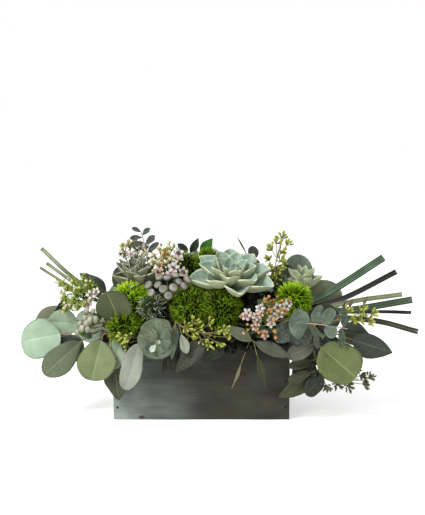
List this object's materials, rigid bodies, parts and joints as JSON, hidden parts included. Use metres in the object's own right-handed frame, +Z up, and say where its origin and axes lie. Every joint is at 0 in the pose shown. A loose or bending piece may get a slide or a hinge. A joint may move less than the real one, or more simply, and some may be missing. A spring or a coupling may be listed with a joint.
{
  "type": "floral table centerpiece",
  "caption": "Low floral table centrepiece: a weathered wooden planter box filled with succulents, green dianthus, eucalyptus, brunia, waxflower and grass blades.",
  "frame": {"origin": "middle of the box's underside, on the table", "axes": "+X along the box to the right as seen from the front, +Y to the back, +Z up; the front of the arrangement faces -Y"},
  "size_m": [0.5729, 0.208, 0.2695],
  "materials": {
    "baby_eucalyptus": "blue-green leaf with a mottled white bloom",
    "brunia_felt": "grey felted buds",
    "dianthus_green": "fine bright green filaments, soft and matte",
    "echeveria_blue": "fleshy blue-green leaf with a waxy bloom and pale edges",
    "echeveria_grey": "fleshy grey-brown leaf with pale edges",
    "echeveria_pale": "fleshy pale green leaf",
    "eryngium": "dark cone with thin silvery curled bracts",
    "floral_foam": "wet green floral foam, fine open cells",
    "lily_grass": "smooth pleated strap leaf with pale lines",
    "liner": "thin black thermoformed plastic tray",
    "pick_wood": "plain round wooden pick",
    "ruscus": "dark glossy pointed leaf",
    "seeded_eucalyptus": "grey-green lance leaf with a pale midrib, lime seed capsules",
    "silver_dollar": "leathery matte leaf, pale green to dark olive, yellow midrib",
    "waxflower": "pale waxy petals with an orange and maroon centre",
    "weathered_boards": "grey-washed weathered softwood, rough sawn, open grain and knots"
  },
  "bodies": {
    "root": {"baby_eucalyptus_front_left": "baby_eucalyptus", "baby_eucalyptus_right": "baby_eucalyptus", "baby_eucalyptus_top_left": "baby_eucalyptus", "back_panel": "weathered_boards", "bottom_board": "weathered_boards", "brunia_back": "brunia_felt", "brunia_center": "brunia_felt", "brunia_left": "brunia_felt", "dianthus_back_left": "dianthus_green", "dianthus_back_right": "dianthus_green", "dianthus_front_left": "dianthus_green", "dianthus_front_right": "dianthus_green", "dianthus_left": "dianthus_green", "dianthus_low_left": "dianthus_green", "dianthus_right": "dianthus_green", "dianthus_top": "dianthus_green", "dianthus_top_left": "dianthus_green", "echeveria_center": "echeveria_blue", "echeveria_left": "echeveria_grey", "echeveria_right": "echeveria_pale", "eryngium": "eryngium", "foam_block": "floral_foam", "front_panel": "weathered_boards", "left_end_panel": "weathered_boards", "lily_grass_left_1": "lily_grass", "lily_grass_left_2": "lily_grass", "lily_grass_left_3": "lily_grass", "lily_grass_right_1": "lily_grass", "lily_grass_right_2": "lily_grass", "lily_grass_right_3": "lily_grass", "lily_grass_right_4": "lily_grass", "lily_grass_right_5": "lily_grass", "lily_grass_right_6": "lily_grass", "liner": "liner", "pick_center": "pick_wood", "pick_left": "pick_wood", "pick_right": "pick_wood", "right_end_panel": "weathered_boards", "ruscus_top": "ruscus", "seeded_eucalyptus_back": "seeded_eucalyptus", "seeded_eucalyptus_front_center": "seeded_eucalyptus", "seeded_eucalyptus_front_left": "seeded_eucalyptus", "seeded_eucalyptus_front_right": "seeded_eucalyptus", "seeded_eucalyptus_low_right": "seeded_eucalyptus", "seeded_eucalyptus_right": "seeded_eucalyptus", "seeded_eucalyptus_top_right": "seeded_eucalyptus", "silver_dollar_back_left": "silver_dollar", "silver_dollar_back_right": "silver_dollar", "silver_dollar_front_left": "silver_dollar", "silver_dollar_front_right": "silver_dollar", "silver_dollar_left": "silver_dollar", "silver_dollar_low_left": "silver_dollar", "silver_dollar_right": "silver_dollar", "silver_dollar_right_back": "silver_dollar", "silver_dollar_upper_left": "silver_dollar", "waxflower_back": "waxflower", "waxflower_back_left": "waxflower", "waxflower_center": "waxflower", "waxflower_front_right": "waxflower", "waxflower_left": "waxflower"}
  },
  "joints": []
}
